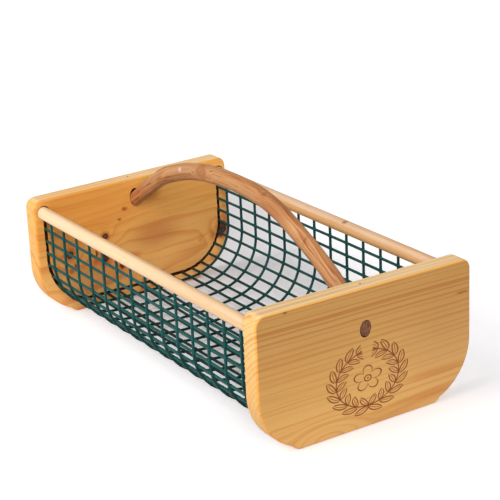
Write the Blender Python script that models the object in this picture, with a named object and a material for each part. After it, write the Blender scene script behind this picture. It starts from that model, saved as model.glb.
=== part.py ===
"""Garden hod: two wooden end boards, two round rails, a bent carrying handle and a
U-shaped basket of welded wire between them.

Metres, +Z up. +X runs along the length, the hod stands on z = 0, and the origin is
on the ground under the middle of the basket. Each piece is an object of its own.
"""

import math

import bmesh
import bpy
from mathutils import Matrix, Vector

# Overall size
HOD_LENGTH = 0.400
CLEARANCE = 0.0003
CUT_OVERRUN = 0.004

# End boards
BOARD_WIDTH = 0.216
BOARD_HEIGHT = 0.122
BOARD_THICKNESS = 0.019
TOP_CORNER_RADIUS = 0.009
LOWER_CORNER_RADIUS = 0.052
LOWER_CORNER_LIFT = 0.0005
FOOT_HALF_WIDTH = 0.068
FOOT_CORNER_RADIUS = 0.008
EDGE_ROUNDING = 0.0022

# Rails and their blind sockets in the boards
RAIL_DIAMETER = 0.012
RAIL_EDGE_INSET = 0.0095
RAIL_TOP_INSET = 0.014
SOCKET_DEPTH = 0.012
KERF_DEPTH = 0.006

# Welded wire: cross wires are bent to the U, long wires lie inside them
WIRE_DIAMETER = 0.0023
CROSS_WIRE_SPACING = 0.0254
LONG_WIRE_SPACING = 0.0123
BASKET_FLOOR_HEIGHT = 0.0107
BASKET_CORNER_RADIUS = 0.0478
GROOVE_WIDTH = 0.0032
GROOVE_DEPTH = 0.008
WIRE_END_DEPTH = 0.006

# Carrying handle, an oval stick that narrows to slanted tenons
HANDLE_WIDTH = 0.013
HANDLE_DEPTH = 0.016
TENON_WIDTH = 0.0106
TENON_DEPTH = 0.0132
TENON_SLOPE = math.radians(31)
HANDLE_TOP_INSET = 0.0215
HANDLE_RISE = 0.064
HANDLE_TAPER_LENGTH = 0.032
MORTISE_CLEARANCE = 0.0005

# Brads down through the boards' top edges and the tenons, into the wood below
BRAD_DIAMETER = 0.0016
BRAD_SET = 0.0006
BRAD_BITE = 0.003

# The bow's centre line: shares of the half span along X, and of the rise
BOW_STATION_SHARES = (
    (-1.00, 0.00), (-0.81, 0.34), (-0.65, 0.62), (-0.49, 0.79), (-0.34, 0.90),
    (-0.17, 0.97), (0.02, 1.00), (0.20, 0.98), (0.33, 0.92), (0.45, 0.82),
    (0.57, 0.67), (0.69, 0.50), (0.79, 0.345), (0.89, 0.175), (1.00, 0.00),
)

# How finely the round stretches are drawn
TOP_CORNER_STEPS = 5
LOWER_CORNER_STEPS = 14
FOOT_CORNER_STEPS = 4
ROUNDING_STEPS = 3
BASKET_CORNER_STEPS = 10
RAIL_SIDES = 24
SOCKET_SIDES = 28
HANDLE_SIDES = 18
BOW_STEPS_PER_STATION = 3
WIRE_SIDES = 8
WIRE_BEVEL_RESOLUTION = 2
BRAD_SIDES = 10
SMOOTH_ANGLE = math.radians(40)

# Places worked out from the sizes above
INNER_LENGTH = HOD_LENGTH - 2 * BOARD_THICKNESS
BOARD_MIDDLE_X = HOD_LENGTH / 2 - BOARD_THICKNESS / 2
RAIL_Y = BOARD_WIDTH / 2 - RAIL_EDGE_INSET
RAIL_Z = BOARD_HEIGHT - RAIL_TOP_INSET
KERF_TOP_Z = RAIL_Z - RAIL_DIAMETER / 2 + KERF_DEPTH
LAYER_STEP = WIRE_DIAMETER + CLEARANCE
BASKET_FLAT = RAIL_Y - BASKET_CORNER_RADIUS
BASKET_QUARTER = BASKET_CORNER_RADIUS * math.pi / 2
BASKET_CORNER_Z = BASKET_FLOOR_HEIGHT + BASKET_CORNER_RADIUS
HANDLE_SPRING_Z = BOARD_HEIGHT - HANDLE_TOP_INSET
TENON_DROP = BOARD_THICKNESS * math.tan(TENON_SLOPE)
MORTISE_WIDTH = TENON_WIDTH + 2 * MORTISE_CLEARANCE
MORTISE_DEPTH = TENON_DEPTH + 2 * MORTISE_CLEARANCE
MORTISE_MIDDLE_Z = HANDLE_SPRING_Z - TENON_DROP / 2
BRAD_TOP_Z = BOARD_HEIGHT - BRAD_SET
BRAD_BOTTOM_Z = MORTISE_MIDDLE_Z - MORTISE_DEPTH / 2 / math.cos(TENON_SLOPE) - BRAD_BITE


def clear_scene():
    """Empty the scene so that only the hod is in it."""
    for thing in list(bpy.data.objects):
        bpy.data.objects.remove(thing, do_unlink=True)


def make_material(name, colour, roughness, metallic=0.0):
    """A plain surface with a colour, a roughness and a metallic value."""
    material = bpy.data.materials.new(name)
    material.use_nodes = True
    shader = material.node_tree.nodes["Principled BSDF"]
    shader.inputs["Base Color"].default_value = (*colour, 1.0)
    shader.inputs["Roughness"].default_value = roughness
    shader.inputs["Metallic"].default_value = metallic
    return material


def add_object(name, data, material, location=(0, 0, 0), rotation=(0, 0, 0)):
    """Put a mesh or a curve in the scene as a named piece."""
    thing = bpy.data.objects.new(name, data)
    bpy.context.collection.objects.link(thing)
    thing.location = location
    thing.rotation_euler = rotation
    if material and material.name not in data.materials:
        data.materials.append(material)
    return thing


def finish_mesh(name, shape):
    """Turn a working mesh into mesh data with smooth round sides."""
    bmesh.ops.recalc_face_normals(shape, faces=shape.faces)
    mesh = bpy.data.meshes.new(name)
    shape.to_mesh(mesh)
    shape.free()
    mesh.shade_smooth()
    mesh.set_sharp_from_angle(angle=SMOOTH_ANGLE)
    return mesh


def add_cutter(name, shape):
    """A solid that only cuts other pieces."""
    cutter = add_object(name, finish_mesh(name, shape), None)
    cutter.hide_render = True
    cutter.display_type = 'WIRE'
    return cutter


def cut(thing, cutter):
    """Take a cutter's shape out of a piece."""
    boolean = thing.modifiers.new(cutter.name, 'BOOLEAN')
    boolean.operation = 'DIFFERENCE'
    boolean.object = cutter


def add_rod(shape, radius, length, sides, placing):
    """A straight round rod along its placing's Z axis, centred there."""
    bmesh.ops.create_cone(
        shape, cap_ends=True, segments=sides, radius1=radius, radius2=radius,
        depth=length, matrix=placing,
    )


def along_x(y, z):
    """Placing that lays a rod's axis along X at the given height and side."""
    return Matrix.Translation((0, y, z)) @ Matrix.Rotation(math.pi / 2, 4, 'Y')


def extrude_outline(points, length):
    """A solid with an outline in Y and Z, drawn along X and centred there."""
    shape = bmesh.new()
    corners = [shape.verts.new((-length / 2, y, z)) for y, z in points]
    face = shape.faces.new(corners)
    moved = bmesh.ops.extrude_face_region(shape, geom=[face])["geom"]
    far_corners = [item for item in moved if isinstance(item, bmesh.types.BMVert)]
    bmesh.ops.translate(shape, verts=far_corners, vec=(length, 0, 0))
    bmesh.ops.recalc_face_normals(shape, faces=shape.faces)
    return shape


def loft_ovals(shape, placings):
    """Bridge a row of unit circles, each placed and stretched by its own matrix."""
    rings = []
    for placing in placings:
        ring = bmesh.ops.create_circle(shape, segments=HANDLE_SIDES, radius=1, matrix=placing)
        rings.append(ring["verts"])
    for before, after in zip(rings, rings[1:]):
        for here in range(HANDLE_SIDES):
            there = (here + 1) % HANDLE_SIDES
            shape.faces.new((before[here], before[there], after[there], after[here]))
    shape.faces.new(rings[0])
    shape.faces.new(rings[-1])


def arc_points(centre, radius, start, end, steps):
    """Points on an arc in Y and Z. Angles run from +Y towards +Z."""
    points = []
    for step in range(steps + 1):
        angle = start + (end - start) * step / steps
        points.append((centre[0] + radius * math.cos(angle), centre[1] + radius * math.sin(angle)))
    return points


def foot_corner_end(foot_centre, lower_centre):
    """Angle on the foot's small corner where the large lower corner takes over."""
    offset = Vector(lower_centre) - Vector(foot_centre)
    apart = offset.length
    gain = apart ** 2 + FOOT_CORNER_RADIUS ** 2 - LOWER_CORNER_RADIUS ** 2
    swing = math.acos(gain / (2 * apart * FOOT_CORNER_RADIUS))
    return math.atan2(offset.y, offset.x) - swing


def board_outline():
    """A board's outline: flat foot, large lower corners, small top corners."""
    foot_centre = (FOOT_HALF_WIDTH, FOOT_CORNER_RADIUS)
    lower_centre = (
        BOARD_WIDTH / 2 - LOWER_CORNER_RADIUS,
        LOWER_CORNER_RADIUS + LOWER_CORNER_LIFT,
    )
    top_centre = (BOARD_WIDTH / 2 - TOP_CORNER_RADIUS, BOARD_HEIGHT - TOP_CORNER_RADIUS)
    foot_end = foot_corner_end(foot_centre, lower_centre)
    foot = arc_points(foot_centre, FOOT_CORNER_RADIUS, -math.pi / 2, foot_end, FOOT_CORNER_STEPS)
    meeting = Vector(foot[-1]) - Vector(lower_centre)
    lower_start = math.atan2(meeting.y, meeting.x)
    half = foot[:-1]
    half += arc_points(lower_centre, LOWER_CORNER_RADIUS, lower_start, 0, LOWER_CORNER_STEPS)
    half += arc_points(top_centre, TOP_CORNER_RADIUS, 0, math.pi / 2, TOP_CORNER_STEPS)
    return half + [(-y, z) for y, z in reversed(half)]


def board_mesh():
    """A plank with its edges eased all round."""
    shape = extrude_outline(board_outline(), BOARD_THICKNESS)
    face_edges = [edge for edge in shape.edges if edge.verts[0].co.x == edge.verts[1].co.x]
    bmesh.ops.bevel(
        shape, geom=face_edges, offset=EDGE_ROUNDING, segments=ROUNDING_STEPS,
        profile=0.5, affect='EDGES', clamp_overlap=True, material=-1,
    )
    return finish_mesh("end board", shape)


def basket_point(distance, inset):
    """Y and Z of a point on the basket's U.

    The distance runs along the cross wires' centre line from the middle of the
    floor, and the inset moves the point towards the inside of the basket.
    """
    side = math.copysign(1, distance)
    run = abs(distance)
    if run <= BASKET_FLAT:
        return side * run, BASKET_FLOOR_HEIGHT + inset
    if run <= BASKET_FLAT + BASKET_QUARTER:
        angle = (run - BASKET_FLAT) / BASKET_CORNER_RADIUS
        radius = BASKET_CORNER_RADIUS - inset
        y = BASKET_FLAT + radius * math.sin(angle)
        return side * y, BASKET_CORNER_Z - radius * math.cos(angle)
    rise = run - BASKET_FLAT - BASKET_QUARTER
    return side * (RAIL_Y - inset), BASKET_CORNER_Z + rise


def basket_route(top_z, inset):
    """Points along the whole U, from one upright end to the other."""
    upright = BASKET_FLAT + BASKET_QUARTER + top_z - BASKET_CORNER_Z
    half = [upright]
    for step in range(BASKET_CORNER_STEPS + 1):
        share = 1 - step / BASKET_CORNER_STEPS
        half.append(BASKET_FLAT + BASKET_QUARTER * share)
    distances = [-distance for distance in half] + list(reversed(half))
    return [basket_point(distance, inset) for distance in distances]


def groove_cutter():
    """The U-shaped groove that both boards carry for the ends of the long wires."""
    inner = basket_route(RAIL_Z, LAYER_STEP + GROOVE_WIDTH / 2)
    outer = basket_route(RAIL_Z, LAYER_STEP - GROOVE_WIDTH / 2)
    outline = inner + list(reversed(outer))
    return add_cutter("groove_cutter", extrude_outline(outline, INNER_LENGTH + 2 * GROOVE_DEPTH))


def socket_cutter():
    """The rails' blind sockets in both boards."""
    shape = bmesh.new()
    radius = RAIL_DIAMETER / 2 + CLEARANCE
    for side in (-1, 1):
        placing = along_x(side * RAIL_Y, RAIL_Z)
        add_rod(shape, radius, INNER_LENGTH + 2 * SOCKET_DEPTH, SOCKET_SIDES, placing)
    return add_cutter("socket_cutter", shape)


def kerf_cutter():
    """The saw kerf under each rail that takes the tops of the cross wires."""
    shape = bmesh.new()
    bottom = RAIL_Z - RAIL_DIAMETER / 2 - CUT_OVERRUN
    size = Vector((HOD_LENGTH, WIRE_DIAMETER + 2 * CLEARANCE, KERF_TOP_Z - bottom))
    for side in (-1, 1):
        middle = Vector((0, side * RAIL_Y, (KERF_TOP_Z + bottom) / 2))
        placing = Matrix.Translation(middle) @ Matrix.Diagonal((*size, 1))
        bmesh.ops.create_cube(shape, size=1, matrix=placing)
    return add_cutter("kerf_cutter", shape)


def brad_hole_cutter():
    """Both brads' holes, which go down through the boards and the tenons."""
    shape = bmesh.new()
    bottom = BRAD_BOTTOM_Z - CLEARANCE
    top = BOARD_HEIGHT + CUT_OVERRUN
    for side in (-1, 1):
        placing = Matrix.Translation((side * BOARD_MIDDLE_X, 0, (top + bottom) / 2))
        add_rod(shape, BRAD_DIAMETER / 2 + CLEARANCE, top - bottom, BRAD_SIDES, placing)
    return add_cutter("brad_hole_cutter", shape)


def bow_point(position):
    """Centre line of the bow at a position counted in stations."""
    last = len(BOW_STATION_SHARES) - 1
    index = min(int(position), last - 1)
    blend = position - index
    near = [BOW_STATION_SHARES[min(max(index + step, 0), last)] for step in (-1, 0, 1, 2)]
    first, start, end, final = [Vector((x * INNER_LENGTH / 2, z * HANDLE_RISE)) for x, z in near]
    tangent_start = (end - first) / 2
    tangent_end = (final - start) / 2
    smooth = blend * blend * (3 - 2 * blend)
    point = start.lerp(end, smooth)
    point += tangent_start * (blend * (1 - blend) * (1 - blend))
    point -= tangent_end * (blend * blend * (1 - blend))
    return Vector((point.x, 0, HANDLE_SPRING_Z + point.y))


def oval_placing(centre, direction, width, depth):
    """Placing of a unit circle as an oval across a direction in the XZ plane."""
    across = Vector((0, 1, 0))
    upward = direction.cross(across).normalized()
    if upward.z < 0:
        upward.negate()
    columns = (across * width / 2, upward * depth / 2, direction.normalized())
    turned = Matrix(columns).transposed().to_4x4()
    return Matrix.Translation(centre) @ turned


def tenon_direction(side):
    """Direction in which a tenon slopes down and out through its board."""
    return Vector((side * math.cos(TENON_SLOPE), 0, -math.sin(TENON_SLOPE)))


def tenon_end_placing(side):
    """The tenon's end, cut flush with the board's upright outer face."""
    centre = Vector((side * HOD_LENGTH / 2, 0, HANDLE_SPRING_Z - TENON_DROP))
    return oval_placing(centre, Vector((1, 0, 0)), TENON_WIDTH, TENON_DEPTH / math.cos(TENON_SLOPE))


def tenon_root_placing(side):
    """The tenon where it comes out of the board's inner face."""
    centre = Vector((side * INNER_LENGTH / 2, 0, HANDLE_SPRING_Z))
    return oval_placing(centre, side * tenon_direction(side), TENON_WIDTH, TENON_DEPTH)


def bow_placings():
    """Sections of the handle between the boards, full size away from its ends."""
    placings = []
    steps = (len(BOW_STATION_SHARES) - 1) * BOW_STEPS_PER_STATION
    for step in range(1, steps):
        centre = bow_point(step / BOW_STEPS_PER_STATION)
        ahead = bow_point((step + 0.5) / BOW_STEPS_PER_STATION)
        behind = bow_point((step - 0.5) / BOW_STEPS_PER_STATION)
        from_board = INNER_LENGTH / 2 - abs(centre.x)
        share = min(from_board / HANDLE_TAPER_LENGTH, 1)
        swell = (1 - math.cos(math.pi * share)) / 2
        width = TENON_WIDTH + (HANDLE_WIDTH - TENON_WIDTH) * swell
        depth = TENON_DEPTH + (HANDLE_DEPTH - TENON_DEPTH) * swell
        placings.append(oval_placing(centre, ahead - behind, width, depth))
    return placings


def mortise_cutter():
    """The handle's slanted oval mortises, right through both boards."""
    shape = bmesh.new()
    reach = BOARD_THICKNESS / 2 / math.cos(TENON_SLOPE) + MORTISE_DEPTH + CUT_OVERRUN
    for side in (-1, 1):
        middle = Vector((side * BOARD_MIDDLE_X, 0, MORTISE_MIDDLE_Z))
        direction = tenon_direction(side)
        ends = [middle - direction * reach, middle + direction * reach]
        placings = [oval_placing(end, direction, MORTISE_WIDTH, MORTISE_DEPTH) for end in ends]
        loft_ovals(shape, placings)
    return add_cutter("mortise_cutter", shape)


def make_boards(material, cutters):
    """The two end boards, which share one plank shape."""
    mesh = board_mesh()
    for name, side in (("left_end_board", -1), ("right_end_board", 1)):
        board = add_object(name, mesh, material, location=(side * BOARD_MIDDLE_X, 0, 0))
        for cutter in cutters:
            cut(board, cutter)
        shading = board.modifiers.new("even shading", 'WEIGHTED_NORMAL')
        shading.keep_sharp = True


def make_rails(material, kerf):
    """The front and back rails, seated in the boards' sockets."""
    shape = bmesh.new()
    length = INNER_LENGTH + 2 * (SOCKET_DEPTH - CLEARANCE)
    add_rod(shape, RAIL_DIAMETER / 2, length, RAIL_SIDES, along_x(0, 0))
    mesh = finish_mesh("rail", shape)
    for name, side in (("front_rail", -1), ("back_rail", 1)):
        rail = add_object(name, mesh, material, location=(0, side * RAIL_Y, RAIL_Z))
        cut(rail, kerf)


def make_handle(material, brad_holes):
    """The bent handle with a slanted tenon at each end."""
    shape = bmesh.new()
    placings = [tenon_end_placing(-1), tenon_root_placing(-1)]
    placings += bow_placings()
    placings += [tenon_root_placing(1), tenon_end_placing(1)]
    loft_ovals(shape, placings)
    handle = add_object("carrying_handle", finish_mesh("carrying handle", shape), material)
    cut(handle, brad_holes)


def make_brads(material):
    """A brad pins each tenon from the board's top edge."""
    shape = bmesh.new()
    length = BRAD_TOP_Z - BRAD_BOTTOM_Z
    add_rod(shape, BRAD_DIAMETER / 2, length, BRAD_SIDES, Matrix.Identity(4))
    mesh = finish_mesh("brad", shape)
    middle_z = (BRAD_TOP_Z + BRAD_BOTTOM_Z) / 2
    for name, side in (("left_handle_brad", -1), ("right_handle_brad", 1)):
        add_object(name, mesh, material, location=(side * BOARD_MIDDLE_X, 0, middle_z))


def make_cross_wires(material):
    """The U-shaped wires, whose upright ends stand in the rails' kerfs."""
    curve = bpy.data.curves.new("cross wire", 'CURVE')
    curve.dimensions = '3D'
    curve.bevel_depth = WIRE_DIAMETER / 2
    curve.bevel_resolution = WIRE_BEVEL_RESOLUTION
    curve.use_fill_caps = True
    route = basket_route(KERF_TOP_Z - CLEARANCE, 0)
    spline = curve.splines.new('POLY')
    spline.points.add(len(route) - 1)
    for point, (y, z) in zip(spline.points, route):
        point.co = (0, y, z, 1)
    count = int(INNER_LENGTH / CROSS_WIRE_SPACING)
    for index in range(count):
        x = (index - (count - 1) / 2) * CROSS_WIRE_SPACING
        add_object(f"cross_wire_{index + 1:02d}", curve, material, location=(x, 0, 0))


def make_long_wires(material):
    """The straight wires, spaced round the U and seated in the boards' grooves."""
    shape = bmesh.new()
    length = INNER_LENGTH + 2 * WIRE_END_DEPTH
    add_rod(shape, WIRE_DIAMETER / 2, length, WIRE_SIDES, along_x(0, 0))
    mesh = finish_mesh("long wire", shape)
    upright = RAIL_Z - RAIL_DIAMETER / 2 - BASKET_CORNER_Z
    unrolled = 2 * (BASKET_FLAT + BASKET_QUARTER + upright)
    count = int(unrolled / LONG_WIRE_SPACING)
    for index in range(count):
        distance = (index - (count - 1) / 2) * LONG_WIRE_SPACING
        y, z = basket_point(distance, LAYER_STEP)
        add_object(f"long_wire_{index + 1:02d}", mesh, material, location=(0, y, z))


def main():
    clear_scene()
    board_wood = make_material("honey pine", (0.60, 0.35, 0.13), 0.45)
    rail_wood = make_material("pale dowel", (0.75, 0.52, 0.27), 0.5)
    handle_wood = make_material("bent hardwood", (0.33, 0.17, 0.08), 0.55)
    coated_wire = make_material("green coated wire", (0.005, 0.05, 0.04), 0.4)
    brad_steel = make_material("brad steel", (0.35, 0.34, 0.32), 0.45, 1.0)

    brad_holes = brad_hole_cutter()
    kerf = kerf_cutter()
    make_boards(board_wood, (groove_cutter(), socket_cutter(), mortise_cutter(), brad_holes))
    make_rails(rail_wood, kerf)
    make_handle(handle_wood, brad_holes)
    make_brads(brad_steel)
    make_cross_wires(coated_wire)
    make_long_wires(coated_wire)


main()
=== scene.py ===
"""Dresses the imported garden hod: two pine end boards, two dowel rails, a bent hardwood
carrying handle pinned with brads, and a basket of green coated welded wire.

Metres, +Z up. +X runs along the length, towards the right end board.
"""

import math

import bmesh
import bpy
from mathutils import Matrix, Vector, noise


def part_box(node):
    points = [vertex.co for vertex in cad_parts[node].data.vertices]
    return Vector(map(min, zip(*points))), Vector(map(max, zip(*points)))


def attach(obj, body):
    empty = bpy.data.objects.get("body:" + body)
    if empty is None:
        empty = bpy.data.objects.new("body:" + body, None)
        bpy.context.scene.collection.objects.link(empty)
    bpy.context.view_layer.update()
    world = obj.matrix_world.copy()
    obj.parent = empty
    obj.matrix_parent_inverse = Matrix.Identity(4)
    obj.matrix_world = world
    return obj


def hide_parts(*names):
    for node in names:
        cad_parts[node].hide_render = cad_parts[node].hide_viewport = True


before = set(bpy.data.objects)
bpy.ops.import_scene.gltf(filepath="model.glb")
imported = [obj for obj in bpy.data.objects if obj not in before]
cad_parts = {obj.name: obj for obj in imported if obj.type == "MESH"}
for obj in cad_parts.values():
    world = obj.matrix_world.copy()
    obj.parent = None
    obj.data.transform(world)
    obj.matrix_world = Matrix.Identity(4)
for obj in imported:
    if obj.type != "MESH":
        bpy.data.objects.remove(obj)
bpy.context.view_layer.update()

MM = 0.001

# The wires' stray and the torn grooves come out the same each run
NOISE_SEED = 1
noise.seed_set(NOISE_SEED)

# Sizes shared with the solids
HALF_LENGTH = 200 * MM
BOARD_THICKNESS = 19 * MM
INNER_X = HALF_LENGTH - BOARD_THICKNESS
BOARD_MIDDLE_X = HALF_LENGTH - BOARD_THICKNESS / 2
BOARD_HEIGHT = 122 * MM
RAIL_Y = 98.5 * MM
RAIL_Z = 108 * MM
RAIL_RADIUS = 6.15 * MM
RAIL_END_GAP = 0.3 * MM
RAIL_EASING = 0.5 * MM

# End boards
HALF_WIDTH = 107.98 * MM
# How much higher each board's top is than the solid's in the middle, and its slope along Y
TOP_RISES = {"left_end_board": (-0.3 * MM, 0.0135), "right_end_board": (1.25 * MM, -0.005)}
TOP_CORNER_RADIUS = 9 * MM
LOWER_CORNER_RADIUS = 52 * MM
LOWER_CORNER_LIFT = 0.5 * MM
FOOT_HALF_WIDTH = 68 * MM
FOOT_CORNER_RADIUS = 8 * MM
EDGE_EASING = 2.3 * MM
MERGE_DISTANCE = 0.01 * MM
FLATNESS = 0.1 * MM
SMOOTH_ANGLE = math.radians(38)
CARVED_SMOOTH_ANGLE = math.radians(32)
SOCKET_RADIUS = 6.7 * MM
SOCKET_RISE = 0.55 * MM
SOCKET_DEPTH = 12 * MM
GROOVE_WIDTH = 3.0 * MM
GROOVE_DEPTH = 8 * MM
GROOVE_TEAR = 0.7 * MM
KERF_WIDTH = 2.9 * MM
KERF_OVERRUN = 4 * MM

# Basket: the long wires' U, with the cross wires bent round the outside of them
WIRE_RADIUS = 1.30 * MM
WELD_RADIUS = 1.50 * MM
WELD_HALF_LENGTH = 2.3 * MM
WIRE_SIDES = 10
CROSS_WIRE_STRAY = 0.25 * MM
LONG_WIRE_STRAY = 0.22 * MM
LAYER_STEP = 1.4 * MM
BASKET_CORNER_Y = 51.0 * MM
BASKET_CORNER_Z = 58.6 * MM
LONG_WIRE_BEND = 46.4 * MM
FIRST_ROW_Z = 92.8 * MM
ROW_SHIFT = 0.55 * MM
FLOOR_ROW_PITCH = 12.42 * MM
FLOOR_ROWS = 4.5
BASKET_SHIFT = -0.4 * MM
FLOOR_HALF_WIDTH = 62 * MM
# How many millimetres the floor hangs lower in its middle, at even places along Y
FLOOR_SAGS = (0, 0.4, 4.0, 6.05, 6.15, 5.55, 2.8, 0, 0)
FLOOR_SAG_FADE = 0.8
FLOOR_DROP = 0.5 * MM
FLOOR_DROP_Y = 20 * MM
FRONT_SAG = 1.45 * MM
FRONT_SAG_Y = (-45 * MM, -75 * MM)
FRONT_SAG_SLOPE = 0.00375
FRONT_TUCK = (1.0 * MM, -0.8 * MM)
# Where the tuck of the front bend begins and where it is full
FRONT_TUCK_X = (-50 * MM, -100 * MM)
FRONT_TUCK_Y = (-40 * MM, -58 * MM)
FRONT_TUCK_Z = (62 * MM, 46 * MM)
LONG_WIRES = 27
CROSS_WIRES = 14
CROSS_WIRE_SPACING = 25.4 * MM
CROSS_WIRE_TOP_Z = 107.4 * MM
LONG_WIRE_HALF_LENGTH = 187 * MM

# Carrying handle
HANDLE_WIDTH = 13 * MM
HANDLE_DEPTH = 16 * MM
TENON_SLOPE = math.radians(31)
HANDLE_SPRING_Z = 100.5 * MM
HANDLE_RISE = 64 * MM
HANDLE_SQUARING = 0.030
HANDLE_LUMPS = 0.045
HANDLE_FACETS = 0.014
BOW_STATION_SHARES = (
    (-1.00, 0.00), (-0.81, 0.335), (-0.65, 0.612), (-0.49, 0.782), (-0.34, 0.894),
    (-0.17, 0.967), (0.02, 0.996), (0.20, 0.978), (0.33, 0.924), (0.45, 0.828),
    (0.57, 0.686), (0.69, 0.523), (0.79, 0.368), (0.89, 0.192), (1.00, 0.00),
)
# Each tenon by the side it is on. The taper is how far from the board the stick is full
# size, and the waist is the share of its size left inside the board. The root's shift,
# the sawn end's stray and the mortise's place off the tenon are in Y and Z. The slack is
# how much wider and deeper than the tenon the mortise is.
TENONS = {
    -1: {
        "width": 11.4 * MM, "depth": 14.4 * MM, "taper": 80 * MM, "waist": 0.74,
        "shift": (1.6 * MM, 0.3 * MM), "stray": (1.6 * MM, 0.3 * MM),
        "slack": (-0.2 * MM, 1.0 * MM), "off": (0, 2.2 * MM),
    },
    1: {
        "width": 10.3 * MM, "depth": 11.8 * MM, "taper": 30 * MM, "waist": 1.0,
        "shift": (0, 0), "stray": (-2.1 * MM, -1.1 * MM),
        "slack": (0.9 * MM, 0.8 * MM), "off": (-0.25 * MM, -0.2 * MM),
    },
}
MORTISE_TOOL_LENGTH = 60 * MM
BRAD_RADIUS = 0.8 * MM
BRAD_EASING = 0.2 * MM
BRAD_HOLE_RADII = (0.9 * MM, 0.95 * MM)
BRAD_HOLE_DEPTH = 11 * MM

# Burned wreath on the near board
WREATH_CENTRE_Y = -1 * MM
WREATH_CENTRE_Z = 44 * MM
WREATH_RADIUS = 24.5 * MM
WREATH_STRETCH = 1.3
WREATH_LEAVES = 9
LEAF_HALF_LENGTH = 6.0 * MM
LEAF_HALF_WIDTH = 2.1 * MM
LEAF_OFFSET = 3.9 * MM
BLOSSOM_RADIUS = 11 * MM
BLOSSOM_EYE = 2.6 * MM

# Studio
SHADE_FRONT_Y = (-42 * MM, -34 * MM)
SHADE_BACK_Y = (146 * MM, 162 * MM)
SHADE_BACK_SLOPE = 0.29
SHADE_LEFT_X = (-400 * MM, -340 * MM)
SHADE_LEFT_SLOPE = 0.5
SHADE_RIGHT_X = (30 * MM, 80 * MM)
SHADE_EASING = 0.5
SHADE_EASING_X = (-330 * MM, -140 * MM)
FLOOR_HALF_SIZE = 9
FLOOR_GAP = 0.05 * MM
FLOOR_GLOW = 0.38
SKY_LIGHT = 0.30
WALL_FADE = (0.10, 0.20)

# Lamps: the direction to each, its strength, its spread in degrees and its colour
LAMPS = {
    "key softbox": ((-0.05, -0.72, 0.60), 1.40, 50, (1.0, 0.985, 0.96)),
    "key lamp": ((-0.05, -0.72, 0.60), 0.50, 14, (1.0, 0.985, 0.96)),
    "side softbox": ((0.80, -0.38, 0.46), 1.35, 24, (1.0, 0.98, 0.95)),
}

# Camera, as fitted to the photograph
PICTURE_WIDTH = 500
FOCAL_PIXELS = 1655.88
CAMERA_ANGLES = (57.4802, 20.0201, -2.5145)
CAMERA_AIM = (0, 0, 80 * MM)
CAMERA_BACK, CAMERA_RIGHT, CAMERA_UP = 1497.08 * MM, 14.494 * MM, 17.256 * MM
SENSOR_WIDTH = 36
CLIP_END = 60

# Woods. Lengths in these tables are in millimetres. A knot is its middle in Y and Z, its
# radii, and how dark it and how pale its heart is. A swirl is its middle, its radii and
# how far it pushes the grain. Each stain and each painted shadow is its middle, its radii,
# its tint and its amount. The face and side tints also carry painted shading by height.
NEAR_PINE = {
    "pith": (262, -4), "lean": (0.02, 0.02), "spacing": 4.1, "sway": 4.0, "ripple": 1.0,
    "soft_share": 0.30, "contrast": (0.36, 0.68), "streaks": 0.3,
    "shades": ((246, 208, 144), (250, 213, 152)), "line": (216, 168, 116),
    "face_tints_and_shading": ((231, 212, 178), (203, 180, 141)), "knots": [],
    "side_tints_and_shading": ((234, 216, 186), (252, 240, 218)),
    "swirls": [((200, -42, 0), (60, 52, 24), -11)],
    "stains_and_shadows": [
        ((201, -79.8, 121.5), (3, 2.4, 1.6), (130, 100, 80), 0.8),
        ((203, -51.9, 121.5), (4, 1.4, 1.4), (140, 110, 84), 0.7),
        ((200, 98.6, 94.2), (5, 9, 1.6), (214, 140, 76), 0.8),
        ((200, 72, 30), (30, 50, 5), (232, 184, 124), 0.45),
        ((200, 64, 12), (30, 44, 4), (232, 184, 124), 0.35),
        ((204, 88, 60), (20, 70, 60), (240, 234, 240), 0.9),
    ],
}
FAR_PINE = {
    "pith": (-222, 38), "lean": (0.05, -0.06), "spacing": 6.6, "sway": 26, "ripple": 3.4,
    "soft_share": 0.10, "contrast": (0.45, 0.20), "streaks": 0.7,
    "shades": ((252, 200, 124), (255, 206, 136)), "line": (226, 158, 98),
    "face_tints_and_shading": ((255, 238, 218), (249, 230, 188)),
    "side_tints_and_shading": ((237, 227, 193), (244, 246, 230)),
    "knots": [
        (-34.4, 69.8, 3.4, 3.2, 1.0, 0.6),
        (-36.0, 48.2, 4.6, 6.0, 1.0, 0.1),
        (-17.4, 35.0, 3.2, 3.0, 0.9, 0.2),
        (-74.2, 59.4, 3.9, 4.1, 0.95, 0.9),
        (-45.0, 54.4, 1.1, 3.6, 0.8, 0.0),
        (101.3, 48.7, 5.4, 7.5, 1.0, 0.0),
        (97.8, 41.6, 3.0, 2.4, 0.9, 0.0),
    ],
    "swirls": [
        ((-181, -35, 66), (60, 30, 22), 10),
        ((-181, -72, 56), (60, 22, 18), 8),
        ((-181, 98, 48), (60, 30, 20), 8),
    ],
    "stains_and_shadows": [
        ((-181, -11.3, 93.3), (30, 4, 2.6), (190, 110, 60), 0.9),
        ((-181, -17.2, 83.6), (30, 3, 2.2), (190, 110, 60), 0.9),
        ((-181, -68.8, 46.7), (30, 2.1, 3.6), (120, 52, 36), 0.95),
        ((-181, -73.5, 42), (30, 4, 4), (226, 140, 80), 0.8),
        ((-181, -46, 46), (30, 5, 5), (226, 150, 90), 0.7),
        ((-181, -82, 59.5), (30, 5, 3), (232, 160, 100), 0.7),
        ((-181, 89, 43), (30, 5, 7), (196, 150, 120), 0.6),
        ((-181, 74, 41), (30, 2, 2), (206, 130, 66), 0.6),
        ((-181, -95, 97), (30, 5, 6), (120, 90, 70), 0.7),
        ((-181, -60, 100), (60, 85, 50), (252, 222, 172), 0.7),
        ((-181, 22, 60), (30, 34, 20), (222, 200, 196), 1.0),
        # Painted shadow of the handle on the board, right of the tenon
        ((-181, 20, 101), (30, 13, 8), (216, 184, 130), 0.8),
    ],
}
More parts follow.
